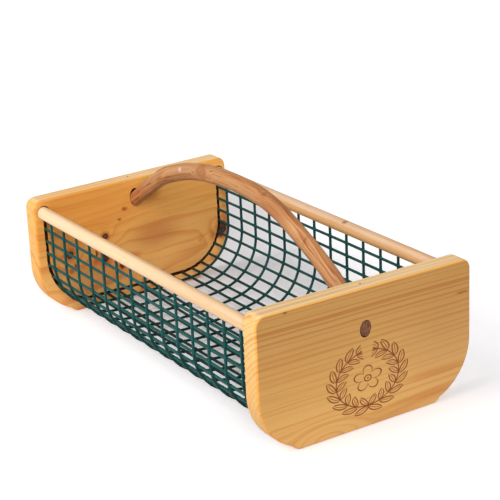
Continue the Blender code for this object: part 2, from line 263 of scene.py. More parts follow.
FRONT_DOWEL = {
    "shades": ((252, 218, 180), (247, 208, 160), (234, 184, 134)),
    # Greyer and darker over the rail's right part
    "stains_and_shadows": [((120, -98.5, 108), (150, 20, 20), (240, 238, 236), 1.0)],
}
BACK_DOWEL = {
    "shades": ((233, 199, 169), (224, 180, 136), (204, 150, 102)),
    "stains_and_shadows": [
        ((39, 94.5, 114), (4, 8, 2), (170, 110, 70), 0.8),
        # Yellower and darker along the rail's lower side
        ((30, 91, 104), (300, 7.5, 12), (240, 218, 166), 1.0),
    ],
}
HANDLE_SWIRLS = [
    ((-38, -5, 162), (24, 14, 10), 9),
    ((60, -5, 168), (14, 8, 6), 3),
]
HANDLE_STAINS = [
    ((60, -5, 168), (4.5, 6, 3), (184, 134, 104), 0.8),
    ((121, -6, 146), (1.8, 6, 11), (180, 134, 100), 0.6),
    ((-165, 0, 112), (40, 20, 26), (236, 206, 178), 0.7),
    ((80, -6, 158), (34, 12, 14), (232, 212, 196), 0.9),
    ((-38, -5, 162), (16, 9, 7), (214, 180, 150), 0.6),
]
HANDLE_CHIPS = [((-77, -6.5, 157.4), (3.2, 3, 2.2))]

# Heights between which a board's ring lines, and its tints with their painted shading, change
LINE_CONTRAST_Z = (55 * MM, 112 * MM)
FACE_TINT_AND_SHADING_Z = (5 * MM, 118 * MM)
SIDE_TINT_AND_SHADING_Z = (15 * MM, 112 * MM)

ALONG_X = Matrix.Rotation(math.pi / 2, 4, 'Y')


# Finishes


def tone(red, green, blue):
    """A colour given on a 0 to 255 scale, as the shader wants it."""
    linear = []
    for part in (red, green, blue):
        share = part / 255
        linear.append(share / 12.92 if share <= 0.04045 else ((share + 0.055) / 1.055) ** 2.4)
    return (*linear, 1.0)


class Value:
    """One output of a shader node. Arithmetic on it adds Math nodes."""

    def __init__(self, finish, socket):
        self.finish = finish
        self.socket = socket

    def math(self, operation, *others):
        return self.finish.maths(operation, self, *others)

    def __add__(self, other):
        return self.math('ADD', other)

    def __sub__(self, other):
        return self.math('SUBTRACT', other)

    def __mul__(self, other):
        return self.math('MULTIPLY', other)

    def __truediv__(self, other):
        return self.math('DIVIDE', other)

    def __rsub__(self, other):
        return self.finish.maths('SUBTRACT', other, self)

    def __abs__(self):
        return self.math('ABSOLUTE')

    __radd__ = __add__
    __rmul__ = __mul__


class Finish:
    """The nodes of a material or of the world, added one by one."""

    def __init__(self, owner):
        self.owner = owner
        owner.use_nodes = True
        self.tree = owner.node_tree
        self.tree.nodes.clear()

    def node(self, kind, settings, inputs):
        """Add a node, its settings first, then the values or links of its sockets."""
        made = self.tree.nodes.new("ShaderNode" + kind)
        for name, setting in settings.items():
            if name == "stops":
                self.set_stops(made.color_ramp, setting)
            else:
                setattr(made, name, setting)
        for place, value in inputs.items():
            if isinstance(value, Value):
                self.tree.links.new(value.socket, made.inputs[place])
            else:
                made.inputs[place].default_value = value
        return [Value(self, socket) for socket in made.outputs]

    def set_stops(self, ramp, stops):
        while len(ramp.elements) < len(stops):
            ramp.elements.new(1.0)
        for element, (position, colour) in zip(ramp.elements, stops):
            element.position = position
            element.color = colour

    def maths(self, operation, *values):
        return self.node("Math", {"operation": operation}, dict(enumerate(values)))[0]

    def place(self):
        """Where a point of the piece is, in metres."""
        return self.node("TexCoord", {}, {})[3]

    def facing(self):
        """How much the surface faces along X, Y and Z."""
        return self.split(self.node("NewGeometry", {}, {})[1])

    def scaled(self, vector, scales):
        return self.node("VectorMath", {"operation": 'MULTIPLY'}, {0: vector, 1: scales})[0]

    def moved(self, vector, by):
        return self.node("VectorMath", {"operation": 'ADD'}, {0: vector, 1: by})[0]

    def split(self, vector):
        return self.node("SeparateXYZ", {}, {0: vector})

    def joined(self, x, y, z):
        return self.node("CombineXYZ", {}, {0: x, 1: y, 2: z})[0]

    def noise(self, vector, scale, detail=2.0, roughness=0.5):
        """Cloudy values from 0 to 1."""
        inputs = {"Vector": vector, "Scale": scale, "Detail": detail, "Roughness": roughness}
        return self.node("TexNoise", {}, inputs)[0]

    def clouds(self, vector, scales, detail=2.0, roughness=0.5):
        """Cloudy values at so many a metre along each axis."""
        return self.noise(self.scaled(vector, scales), 1.0, detail, roughness)

    def noise_line(self, value, scale, detail=0.0):
        """Cloudy values along a single number."""
        inputs = {"W": value, "Scale": scale, "Detail": detail}
        return self.node("TexNoise", {"noise_dimensions": '1D'}, inputs)[0]

    def shaken(self, vector, scale, distance):
        """A place moved about at random, for ragged edges."""
        cloud = self.node("TexNoise", {}, {"Vector": vector, "Scale": scale, "Detail": 3.0})[1]
        centred = self.moved(cloud, (-0.5, -0.5, -0.5))
        return self.moved(vector, self.scaled(centred, (distance, distance, distance)))

    def step(self, value, low, high, before=0.0, after=1.0):
        """0 below low and 1 above high, with a smooth change between."""
        inputs = {"Value": value, "From Min": low, "From Max": high}
        inputs |= {"To Min": before, "To Max": after}
        return self.node("MapRange", {"interpolation_type": 'SMOOTHSTEP'}, inputs)[0]

    def fade(self, value, full, gone):
        """1 below full and 0 above gone."""
        return self.step(value, full, gone, 1.0, 0.0)

    def mix(self, amount, first, second, blend='MIX'):
        settings = {"data_type": 'RGBA', "blend_type": blend}
        return self.node("Mix", settings, {0: amount, 6: first, 7: second})[2]

    def tinted(self, amount, colour, tint):
        """A colour multiplied by a tint, as far as the amount says."""
        return self.mix(amount, colour, tint, 'MULTIPLY')

    def ramp(self, value, stops):
        return self.node("ValToRGB", {"stops": stops}, {0: value})[0]

    def bump(self, height, distance, strength=1.0):
        inputs = {"Height": height, "Distance": distance, "Strength": strength}
        return self.node("Bump", {}, inputs)[0]

    def reach(self, place, centre, radii):
        """How many radii a point is from a spot's middle, both given in millimetres."""
        off = self.moved(place, tuple(-part * MM for part in centre))
        shares = self.scaled(off, tuple(1 / (radius * MM) for radius in radii))
        return self.node("VectorMath", {"operation": 'LENGTH'}, {0: shares})[1]

    def pushed(self, place, value, swirls):
        """A length that swirls in the grain push aside."""
        for centre, radii, push in swirls:
            value = value + self.fade(self.reach(place, centre, radii), 0.0, 1.0) * (push * MM)
        return value

    def stained_and_shaded(self, place, colour, stains_and_shadows, full, gone):
        """A colour with each stain and painted shadow on it, full and gone at so many of their
        radii.
        """
        for centre, radii, tint, amount in stains_and_shadows:
            spot = self.fade(self.reach(place, centre, radii), full, gone)
            colour = self.tinted(spot * amount, colour, tone(*tint))
        return colour

    def graded(self, height, heights, tints):
        """From the first tint at the lower height to the second at the upper one."""
        low, high = (tone(*tint) for tint in tints)
        return self.mix(self.step(height, *heights), low, high)

    def surface(self, colour, roughness, normal, specular, metallic=0.0):
        """End the material with the shader."""
        inputs = {
            "Base Color": colour, "Roughness": roughness, "Normal": normal,
            "Specular IOR Level": specular, "Metallic": metallic,
        }
        shader = self.node("BsdfPrincipled", {}, inputs)[0]
        self.node("OutputMaterial", {}, {0: shader})
        return self.owner


def new_finish(name):
    return Finish(bpy.data.materials.new(name))


def late_wood(finish, place, wood):
    """How much of a point is a growth ring's dark late wood.

    The rings circle the pith line, which runs along Y, and swirls push them aside.
    """
    x, y, z = finish.split(place)
    over = x - wood["pith"][0] * MM + y * wood["lean"][0]
    up = z - wood["pith"][1] * MM + y * wood["lean"][1]
    sway = finish.clouds(place, (10, 3, 10), 3.0)
    ripple = finish.clouds(place, (60, 14, 60))
    radius = (over * over + up * up).math('SQRT')
    radius = radius + (sway - 0.5) * (wood["sway"] * MM)
    radius = radius + (ripple - 0.5) * (wood["ripple"] * MM)
    radius = finish.pushed(place, radius, wood["swirls"])
    rings = radius / (wood["spacing"] * MM)
    rings = rings + finish.noise_line(rings, 0.8, 1.0) * 1.3
    share = rings.math('FRACT')
    year = rings.math('FLOOR')
    strength = finish.node("TexWhiteNoise", {"noise_dimensions": '1D'}, {"W": year})[0]
    late = finish.step(share, wood["soft_share"], 0.90)
    return late * late * finish.fade(share, 0.92, 1.0) * (0.60 + strength * 0.50)


def add_knots(finish, ragged, wood, colour, height):
    """A colour and a height with the board's knots in them."""
    rot = finish.noise(finish.place(), 700, 3.0)
    rotten = finish.mix(finish.step(rot, 0.40, 0.62), tone(34, 20, 18), tone(104, 62, 42))
    for centre_y, centre_z, radius_y, radius_z, darkness, heart in wood["knots"]:
        off = finish.reach(ragged, (0, centre_y, centre_z), (1 / MM, radius_y, radius_z))
        core = finish.fade(off, 0.80, 1.02) * darkness
        rim = finish.fade(off, 0.95, 2.2) * darkness
        knot_tone = finish.mix(finish.fade(off, 0.25, 0.60) * heart, rotten, tone(150, 94, 56))
        colour = finish.tinted(rim * 0.8, colour, tone(214, 160, 120))
        colour = finish.mix(core, colour, knot_tone)
        height = height - core * (0.5 + rot)
    return colour, height


def board_pine(name, wood, ornament=None):
    """Varnished pine with growth rings, its eased edges a deeper orange; a painted sheen makes
    its top paler, painted shade its underside darker, and painted shading changes its tints
    with height.
    """
    finish = new_finish(name)
    place = finish.place()
    ragged = finish.shaken(place, 320, 3 * MM)
    y, z = finish.split(place)[1:]
    facing_x, _, facing_z = finish.facing()
    sideways = abs(facing_x)
    on_face = finish.step(sideways, 0.75, 0.97)
    on_top = finish.step(facing_z, 0.70, 0.95)
    shaded_bottom = finish.fade(facing_z, -0.98, -0.85)
    eased = finish.step(sideways, 0.15, 0.45) * finish.fade(sideways, 0.88, 0.97)

    late = late_wood(finish, place, wood)
    fibre = finish.clouds(place, (700, 16, 700), 3.0, 0.6)
    lift = finish.clouds(place, (12, 14, 12), 1.0) * (wood["sway"] * MM)
    swayed = finish.moved(place, finish.joined(0, 0, lift))
    streak = finish.clouds(swayed, (150, 4, 220))
    top_streak = finish.clouds(place, (430, 4, 60), 2.0, 0.6)
    broad = finish.clouds(place, (18, 7, 18))
    speckle = finish.noise(place, 900, 2.0)

    pale, warm = (tone(*shade) for shade in wood["shades"])
    low_contrast, high_contrast = wood["contrast"]
    contrast = low_contrast + finish.step(z, *LINE_CONTRAST_Z) * (high_contrast - low_contrast)
    dark_lines = on_top * finish.step(top_streak, 0.50, 0.66) * 0.45
    pale_lines = on_top * finish.fade(top_streak, 0.34, 0.52) * 0.6
    colour = finish.mix(finish.step(broad, 0.30, 0.70), pale, warm)
    colour = finish.tinted(late * contrast, colour, tone(*wood["line"]))
    for marks, low, high, amount, tint in (
        (streak, 0.50, 0.80, wood["streaks"], (238, 205, 158)),
        (fibre, 0.45, 0.85, 0.30, (234, 208, 170)),
        (speckle, 0.50, 0.80, 0.14, (214, 190, 160)),
    ):
        colour = finish.tinted(finish.step(marks, low, high) * amount, colour, tone(*tint))
    # Painted sheen: the top made paler, as a glancing sheen would show
    colour = finish.mix(on_top * 0.35, colour, tone(250, 222, 178))
    colour = finish.mix(dark_lines, colour, tone(226, 174, 108))
    colour = finish.mix(pale_lines, colour, tone(255, 232, 196))
    # Painted shading: the tints change with height, the faces lighter and the sides darker
    # towards the bottom; the rest of each tint is the wood's own colour
    face_tint_and_shading = finish.graded(z, FACE_TINT_AND_SHADING_Z, wood["face_tints_and_shading"])
    side_tint_and_shading = finish.graded(z, SIDE_TINT_AND_SHADING_Z, wood["side_tints_and_shading"])
    colour = finish.tinted(on_face, colour, face_tint_and_shading)
    colour = finish.tinted((1 - on_face) * (1 - on_top), colour, side_tint_and_shading)
    colour = finish.tinted(eased * 0.8, colour, tone(255, 228, 170))
    # Painted shade: the downward faces darker, as the bottom edge lies in shadow
    colour = finish.tinted(shaded_bottom, colour, tone(218, 160, 128))
    colour = finish.stained_and_shaded(ragged, colour, wood["stains_and_shadows"], 0.15, 1.2)

    colour, height = add_knots(finish, ragged, wood, colour, fibre * 0.5 + late * 0.5)
    if ornament:
        burn = ornament(finish, y, z) * on_face * finish.step(facing_x, 0.5, 0.9)
        colour = finish.mix(burn * 0.95, colour, tone(126, 56, 16))
        height = height - burn * 1.5
    normal = finish.bump(height, 0.16 * MM, 0.5)
    return finish.surface(colour, 0.50 + fibre * 0.12, normal, 0.3)


def leaf_line(finish, along, across, tilt):
    """The burned outline and midrib of one pointed leaf about its own middle."""
    run = along * math.cos(tilt) + across * math.sin(tilt)
    off = abs(across * math.cos(tilt) - along * math.sin(tilt))
    share = run / LEAF_HALF_LENGTH
    edge = (1 - share * share) * LEAF_HALF_WIDTH
    outline = finish.fade(abs(off - edge), 0.34 * MM, 0.62 * MM)
    midrib = finish.fade(off, 0.10 * MM, 0.36 * MM) * finish.fade(share, 0.55, 0.70)
    return outline.math('MAXIMUM', midrib) * finish.fade(abs(share), 0.98, 1.05)


def leaf_wreath(finish, y, z):
    """A wreath of paired leaves round a five-petalled blossom, as thin burned lines."""
    across, up = (y - WREATH_CENTRE_Y) / WREATH_STRETCH, z - WREATH_CENTRE_Z
    reach = (across * across + up * up).math('SQRT')
    angle = across.math('ARCTAN2', up)
    count = (math.pi - abs(angle)) * (WREATH_LEAVES / math.pi)
    along = (count.math('FRACT') - 0.5) * (math.pi * WREATH_RADIUS / WREATH_LEAVES)
    out = reach - WREATH_RADIUS
    stem = finish.fade(abs(out), 0.30 * MM, 0.60 * MM)
    outer = leaf_line(finish, along, out - LEAF_OFFSET, math.radians(38))
    inner = leaf_line(finish, along, out + LEAF_OFFSET, math.radians(-38))
    closed = finish.fade(count, WREATH_LEAVES - 0.5, WREATH_LEAVES - 0.45)
    wreath = stem.math('MAXIMUM', outer).math('MAXIMUM', inner) * closed
    lobe = abs((angle * 2.5).math('COSINE'))
    petal = BLOSSOM_RADIUS * (0.42 + lobe.math('POWER', 0.7) * 0.58)
    blossom = finish.fade(abs(reach - petal), 0.40 * MM, 0.70 * MM)
    eye = finish.fade(abs(reach - BLOSSOM_EYE), 0.35 * MM, 0.62 * MM)
    dots = finish.fade(reach, 0.6 * MM, 0.9 * MM)
    return wreath.math('MAXIMUM', blossom).math('MAXIMUM', eye).math('MAXIMUM', dots)


def shaded_sawn_pine(name):
    """Rough sawn wood inside the grooves, sockets and mortises, its fuzz its own and its dark
    tones painted shade for those recesses.
    """
    finish = new_finish(name)
    place = finish.place()
    fuzz = finish.noise(place, 420, 4.0, 0.65)
    char = finish.noise(place, 95, 2.0)
    # Painted shade: the dark tones stand in for the shadow inside the recesses
    colour = finish.mix(finish.step(fuzz, 0.35, 0.70), tone(44, 26, 16), tone(126, 76, 38))
    colour = finish.mix(finish.step(char, 0.40, 0.70) * 0.6, colour, tone(30, 18, 12))
    return finish.surface(colour, 0.85 + fuzz * 0.1, finish.bump(fuzz, 0.6 * MM), 0.2)


def dowel_wood(name, wood):
    """Close grained dowel with fine streaks along X."""
    finish = new_finish(name)
    place = finish.place()
    fibre = finish.clouds(place, (12, 800, 800), 3.0, 0.6)
    streak = finish.clouds(place, (4, 260, 260))
    cloud = finish.clouds(place, (16, 60, 60))
    flecks = finish.clouds(place, (60, 1500, 1500), 1.0)
    pale, warm, dark = (tone(*shade) for shade in wood["shades"])
    colour = finish.mix(finish.step(streak, 0.35, 0.70), pale, warm)
    colour = finish.mix(finish.step(cloud, 0.42, 0.75) * 0.6, colour, warm)
    colour = finish.mix(finish.step(fibre, 0.48, 0.74) * 0.60, colour, dark)
    colour = finish.mix(finish.step(streak, 0.56, 0.66) * 0.40, colour, dark)
    colour = finish.tinted(finish.step(flecks, 0.68, 0.80) * 0.4, colour, tone(214, 176, 136))
    colour = finish.stained_and_shaded(place, colour, wood["stains_and_shadows"], 0.2, 1.1)
    normal = finish.bump(fibre * 0.6 + streak * 0.4, 0.2 * MM, 0.5)
    return finish.surface(colour, 0.46 + fibre * 0.12, normal, 0.35)


def handle_wood(name):
    """Brown hardwood whose streaks follow the bend, darker on the tenons' sawn ends."""
    finish = new_finish(name)
    place = finish.place()
    grain = finish.node("Attribute", {"attribute_name": "grain"}, {})[1]
    wander = finish.clouds(grain, (16, 50, 50))
    sway = finish.pushed(place, (wander - 0.5) * (7 * MM), HANDLE_SWIRLS)
    swayed = finish.moved(grain, finish.joined(0, sway, sway))
    band = finish.clouds(swayed, (5, 160, 160))
    streak = finish.clouds(swayed, (9, 520, 520), 3.0, 0.6)
    hair = finish.clouds(swayed, (22, 1050, 1050))
    patch = finish.clouds(grain, (22, 50, 50))
    colour = finish.ramp(band, [
        (0.30, tone(168, 110, 64)), (0.44, tone(190, 132, 80)),
        (0.56, tone(204, 150, 98)), (0.72, tone(190, 134, 84))])
    colour = finish.mix(finish.step(patch, 0.42, 0.72) * 0.45, colour, tone(182, 130, 92))
    colour = finish.tinted(finish.step(streak, 0.50, 0.72) * 0.75, colour, tone(202, 160, 126))
    colour = finish.tinted(finish.step(hair, 0.56, 0.72) * 0.75, colour, tone(188, 140, 106))
    colour = finish.mix(finish.fade(streak, 0.30, 0.46) * 0.35, colour, tone(226, 172, 124))
    colour = finish.stained_and_shaded(place, colour, HANDLE_STAINS, 0.2, 1.1)
    for centre, radii in HANDLE_CHIPS:
        chip = finish.fade(finish.reach(place, centre, radii), 0.7, 1.1)
        colour = finish.mix(chip * 0.8, colour, tone(226, 190, 168))
    past_face = abs(finish.split(place)[0]) - HALF_LENGTH
    sawn = finish.step(past_face, -1.2 * MM, -0.6 * MM)
    pores = finish.clouds(place, (200, 1100, 260), 3.0, 0.6)
    end_tone = finish.mix(finish.step(pores, 0.38, 0.64), tone(84, 48, 28), tone(138, 88, 54))
    colour = finish.mix(sawn, colour, end_tone)
    normal = finish.bump(streak * 0.6 + hair * 0.4 + sawn * pores, 0.3 * MM, 0.6)
    return finish.surface(colour, 0.50 + streak * 0.14, normal, 0.35)


def coated_wire(name):
    """Dark green plastic coating, painted lighter on its upper side as painted light and darker
    on the basket's floor and back as painted shade, with specks of dust.
    """
    finish = new_finish(name)
    place = finish.place()
    orange_peel = finish.noise(place, 620, 2.0)
    drift = finish.noise(place, 40, 2.0)
    dust = finish.noise(place, 1500, 2.0)
    # Painted light and shade: a shaded tone for the wires' undersides and a lit tone for their
    # upper sides
    under = finish.mix(finish.step(drift, 0.3, 0.7), tone(0, 38, 33), tone(0, 48, 43))
    upper = finish.mix(finish.step(drift, 0.3, 0.7), tone(24, 81, 79), tone(36, 93, 91))
    colour = finish.mix(finish.step(finish.facing()[2], -0.45, 0.25), under, upper)
    y = finish.split(place)[1]
    # Painted shade: the floor's wires are darker than the front ones, and the back's wires half
    # as much
    inside = finish.step(y, -88 * MM, -40 * MM) * (1 - finish.step(y, 60 * MM, 92 * MM) * 0.5)
    colour = finish.tinted(inside, colour, tone(182, 184, 184))
    colour = finish.mix(finish.step(dust, 0.62, 0.8) * 0.25, colour, tone(20, 104, 100))
    normal = finish.bump(orange_peel, 0.10 * MM, 0.5)
    return finish.surface(colour, 0.30 + orange_peel * 0.14, normal, 0.10)


def brad_steel(name):
    """Dull pale steel with a little rust."""
    finish = new_finish(name)
    rust = finish.noise(finish.place(), 1400, 3.0)
    rusted = finish.step(rust, 0.45, 0.7)
    colour = finish.mix(rusted, tone(196, 186, 180), tone(132, 100, 84))
    normal = finish.bump(rust, 0.1 * MM, 0.5)
    return finish.surface(colour, 0.40 + rust * 0.3, normal, 0.5, 0.6 - rusted * 0.4)


# Shapes


def only(kind, geometry):
    return [item for item in geometry if isinstance(item, kind)]


def make_mesh(name, shape):
    """A finished mesh from a working one."""
    mesh = bpy.data.meshes.new(name)
    shape.to_mesh(mesh)
    shape.free()
    mesh.shade_smooth()
    mesh.set_sharp_from_angle(angle=SMOOTH_ANGLE)
    return mesh


def add_object(name, data):
    made = bpy.data.objects.new(name, data)
    bpy.context.collection.objects.link(made)
    return made


def add_piece(name, mesh, materials):
    piece = add_object(name, mesh)
    for material in materials:
        mesh.materials.append(material)
    return piece


def rod(shape, sides, radius, length, placing, end_radius=None):
    """A closed cylinder or cone along a placing's Z."""
    bmesh.ops.create_cone(
        shape, cap_ends=True, segments=sides, radius1=radius, radius2=end_radius or radius,
        depth=length, matrix=placing,
    )


def ease_rims(shape, axis, offset, segments):
    """Round over the edges that lie square across an axis."""
    rims = [
        edge for edge in shape.edges
        if abs(edge.verts[0].co[axis] - edge.verts[1].co[axis]) < FLATNESS
    ]
    bmesh.ops.bevel(
        shape, geom=rims, offset=offset, segments=segments, profile=0.5, affect='EDGES',
        clamp_overlap=True, material=-1,
    )


def extruded(shape, geometry, along):
    """Extrude faces along a vector and turn all the faces outward."""
    moved = bmesh.ops.extrude_face_region(shape, geom=geometry)["geom"]
    bmesh.ops.translate(shape, verts=only(bmesh.types.BMVert, moved), vec=along)
    bmesh.ops.recalc_face_normals(shape, faces=shape.faces)


def sweep(shape, placings, sides):
    """A closed rod through a row of placed and stretched unit circles."""
    ring = bmesh.ops.create_circle(shape, segments=sides, radius=1, matrix=placings[0])
    rim = list({edge for vert in ring["verts"] for edge in vert.link_edges})
    bmesh.ops.contextual_create(shape, geom=rim)
    for before, after in zip(placings, placings[1:]):
        moved = bmesh.ops.extrude_edge_only(shape, edges=rim)["geom"]
        verts = only(bmesh.types.BMVert, moved)
        bmesh.ops.transform(shape, verts=verts, matrix=after @ before.inverted())
        rim = [edge for edge in only(bmesh.types.BMEdge, moved) if edge.is_boundary]
    bmesh.ops.contextual_create(shape, geom=rim)
    bmesh.ops.recalc_face_normals(shape, faces=shape.faces)


def turn_on(shape, item, centre, turn, steps):
    """Carry a corner or an edge on round a centre and give back its last place."""
    moved = bmesh.ops.spin(
        shape, geom=[item], cent=centre, axis=(1, 0, 0), angle=turn, steps=steps,
        use_duplicate=False,
    )
    return only(type(item), moved["geom_last"])[0]


def run_on(shape, edge, run, steps):
    """Carry an edge on along a straight run and give back its last place."""
    for _ in range(steps):
        moved = bmesh.ops.extrude_edge_only(shape, edges=[edge])["geom"]
        verts = only(bmesh.types.BMVert, moved)
        bmesh.ops.translate(shape, verts=verts, vec=run / steps)
        edge = shape.edges.get(verts)
    return edge


def foot_turn(lower_centre):
    """How far round the foot's small corner goes before the large corner takes over."""
    offset = lower_centre - Vector((FOOT_HALF_WIDTH, FOOT_CORNER_RADIUS))
    gain = offset.length ** 2 + FOOT_CORNER_RADIUS ** 2 - LOWER_CORNER_RADIUS ** 2
    swing = math.acos(gain / (2 * offset.length * FOOT_CORNER_RADIUS))
    return math.atan2(offset.y, offset.x) - swing + math.pi / 2


def board_shape(middle_x, top_rise):
    """A plank with its outline's corners rounded and its edges eased."""
    shape = bmesh.new()
    x = middle_x - BOARD_THICKNESS / 2
    lower_centre = Vector(
        (HALF_WIDTH - LOWER_CORNER_RADIUS, LOWER_CORNER_RADIUS + LOWER_CORNER_LIFT))
    top_y, top_z = HALF_WIDTH - TOP_CORNER_RADIUS, BOARD_HEIGHT - TOP_CORNER_RADIUS
    foot_middle = shape.verts.new((x, 0, 0))
    corner = shape.verts.new((x, FOOT_HALF_WIDTH, 0))
    shape.edges.new((foot_middle, corner))
    foot_centre = (x, FOOT_HALF_WIDTH, FOOT_CORNER_RADIUS)
    corner = turn_on(shape, corner, foot_centre, foot_turn(lower_centre), 5)
    turn = -math.atan2(corner.co.z - lower_centre.y, corner.co.y - lower_centre.x)
    corner = turn_on(shape, corner, (x, *lower_centre), turn, 26)
    rise = shape.verts.new((x, HALF_WIDTH, top_z))
    shape.edges.new((corner, rise))
    corner = turn_on(shape, rise, (x, top_y, top_z), math.pi / 2, 10)
    top_middle = shape.verts.new((x, 0, BOARD_HEIGHT))
    shape.edges.new((corner, top_middle))
    outline = shape.verts[:] + shape.edges[:]
    bmesh.ops.mirror(shape, geom=outline, axis='Y', merge_dist=MERGE_DISTANCE)
    bmesh.ops.remove_doubles(shape, verts=shape.verts, dist=MERGE_DISTANCE)
    for vert in shape.verts:
        vert.co.z *= 1 + (top_rise[0] + top_rise[1] * vert.co.y) / BOARD_HEIGHT
    face = bmesh.ops.contextual_create(shape, geom=shape.edges[:])["faces"][0]
    extruded(shape, [face], (BOARD_THICKNESS, 0, 0))
    ease_rims(shape, 0, EDGE_EASING, 4)
    return shape


def groove_shape(side):
    """The U-shaped saw groove for the wires' ends, with torn edges."""
    shape = bmesh.new()
    x = side * (INNER_X + GROOVE_DEPTH)
    middle_y = BASKET_CORNER_Y + LONG_WIRE_BEND
    top = [shape.verts.new((x, middle_y + part * GROOVE_WIDTH / 2, RAIL_Z)) for part in (1, -1)]
    edge = shape.edges.new(top)
    fall = Vector((0, 0, BASKET_CORNER_Z - RAIL_Z))
    edge = run_on(shape, edge, fall, 24)
    edge = turn_on(shape, edge, (x, BASKET_CORNER_Y, BASKET_CORNER_Z), -math.pi / 2, 34)
    edge = run_on(shape, edge, Vector((0, -2 * BASKET_CORNER_Y, 0)), 48)
    edge = turn_on(shape, edge, (x, -BASKET_CORNER_Y, BASKET_CORNER_Z), -math.pi / 2, 34)
    run_on(shape, edge, -fall, 24)
    for vert in shape.verts:
        tear = noise.noise_vector(vert.co * 420 + Vector((side * 7, 0, 0)))
        vert.co += Vector((0, tear.y, tear.z)) * GROOVE_TEAR
        vert.co += settling(vert.co)
    extruded(shape, shape.faces[:], (-side * 2 * GROOVE_DEPTH, 0, 0))
    return shape


def hole_shapes(side):
    """The rail sockets with the brad hole, and the slanted oval mortise."""
    holes = bmesh.new()
    for rail_side in (-1, 1):
        middle = Vector((side * INNER_X, rail_side * RAIL_Y, RAIL_Z + SOCKET_RISE))
        placing = Matrix.Translation(middle) @ ALONG_X
        rod(holes, 40, SOCKET_RADIUS, 2 * SOCKET_DEPTH, placing)
    brad_place = Matrix.Translation((side * BOARD_MIDDLE_X, 0, BOARD_HEIGHT))
    low, high = BRAD_HOLE_RADII
    rod(holes, 16, low, 2 * BRAD_HOLE_DEPTH, brad_place, high)
    tenon = TENONS[side]
    root, end = tenon_line(side)
    middle = (root + end) / 2 + Vector((0, *tenon["off"]))
    more_width, more_depth = tenon["slack"]
    placing = oval_placing(
        middle, end - root, tenon["width"] + more_width, tenon["depth"] + more_depth)
    mortise = bmesh.new()
    rod(mortise, 44, 1, MORTISE_TOOL_LENGTH, placing)
    bmesh.ops.recalc_face_normals(mortise, faces=mortise.faces)
    return holes, mortise


def carve(piece, cutters):
    """Cut the shapes out of a piece and keep the result as its mesh."""
    tools = []
    for number, (cutter, material) in enumerate(cutters):
        name = f"{piece.name}_cutter_{number}"
        tool = add_piece(name, make_mesh("cutter", cutter), [material])
        boolean = piece.modifiers.new("cut", 'BOOLEAN')
        boolean.operation = 'DIFFERENCE'
        boolean.solver = 'EXACT'
        boolean.material_mode = 'TRANSFER'
        boolean.object = tool
        tools.append(tool)
    bpy.context.view_layer.update()
    seen = piece.evaluated_get(bpy.context.evaluated_depsgraph_get())
    carved = bpy.data.meshes.new_from_object(seen)
    piece.modifiers.clear()
    old = piece.data
    piece.data = carved
    carved.name = piece.name
    for tool in tools:
        bpy.data.objects.remove(tool)
    bpy.data.meshes.remove(old)
    carved.shade_smooth()
    carved.set_sharp_from_angle(angle=CARVED_SMOOTH_ANGLE)
    shading = piece.modifiers.new("even shading", 'WEIGHTED_NORMAL')
    shading.keep_sharp = True


def dress(node, suffix, mesh, materials, cutters=()):
    """Add the piece that takes a node's place, carve it with any cutters, hide the node and
    hang the piece on the root body.
    """
    piece = add_piece(node + suffix, mesh, materials)
    if cutters:
        carve(piece, cutters)
    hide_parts(node)
    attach(piece, "root")


def smooth_share(value, low, high):
    """0 at low and 1 at high, with a smooth change between."""
    share = min(max((value - low) / (high - low), 0), 1)
    return share * share * (3 - 2 * share)


def between(before, start, end, after, share):
    """A point on the smooth curve from start to end, with a neighbour at each side."""
    rest = 1 - share
    leaving = (end - before) / 2 * (share * rest * rest)
    arriving = (after - start) / 2 * (share * share * rest)
    return start + (end - start) * smooth_share(share, 0, 1) + leaving - arriving


def bow_point(position):
    """Centre line of the bow at a position counted in stations."""
    last = len(BOW_STATION_SHARES) - 1
    index = min(int(position), last - 1)
    shares = [BOW_STATION_SHARES[min(max(index + step, 0), last)] for step in (-1, 0, 1, 2)]
    stations = [Vector((x * INNER_X, z * HANDLE_RISE)) for x, z in shares]
    point = between(*stations, position - index)
    tenon = TENONS[1 if point.x > 0 else -1]
    nearness = smooth_share(INNER_X - abs(point.x), tenon["taper"], 0)
    shift_y, shift_z = (part * nearness for part in tenon["shift"])
    return Vector((point.x, shift_y, HANDLE_SPRING_Z + point.y + shift_z))


def oval_placing(centre, direction, width, depth):
    """Placing of a unit circle as an oval across a direction in the XZ plane."""
    across = Vector((0, 1, 0))
    upward = direction.cross(across).normalized()
    if upward.z < 0:
        upward.negate()
    columns = (across * width / 2, upward * depth / 2, direction.normalized())
    return Matrix.Translation(centre) @ Matrix(columns).transposed().to_4x4()


def tenon_line(side):
    """Where a tenon starts at the board's inner face, and the middle of its sawn end."""
    drop = BOARD_THICKNESS * math.tan(TENON_SLOPE)
    stray_y, stray_z = TENONS[side]["stray"]
    shift_y, shift_z = TENONS[side]["shift"]
    root = Vector((side * INNER_X, shift_y, HANDLE_SPRING_Z + shift_z))
    return root, Vector((side * HALF_LENGTH, stray_y, HANDLE_SPRING_Z - drop + stray_z))


def tenon_placings(side):
    """Sections of a tenon, from its root to its end, which is sawn flush with the board."""
    root, end = tenon_line(side)
    width, depth = TENONS[side]["width"], TENONS[side]["depth"]
    direction = (end - root) * side
    waist_width, waist_depth = (part * TENONS[side]["waist"] for part in (width, depth))
    return [
        oval_placing(root, direction, width, depth),
        oval_placing(root.lerp(end, 0.12), direction, waist_width, waist_depth),
        oval_placing(root.lerp(end, 0.6), direction, waist_width, waist_depth),
        oval_placing(end, Vector((1, 0, 0)), waist_width, waist_depth / math.cos(TENON_SLOPE)),
    ]


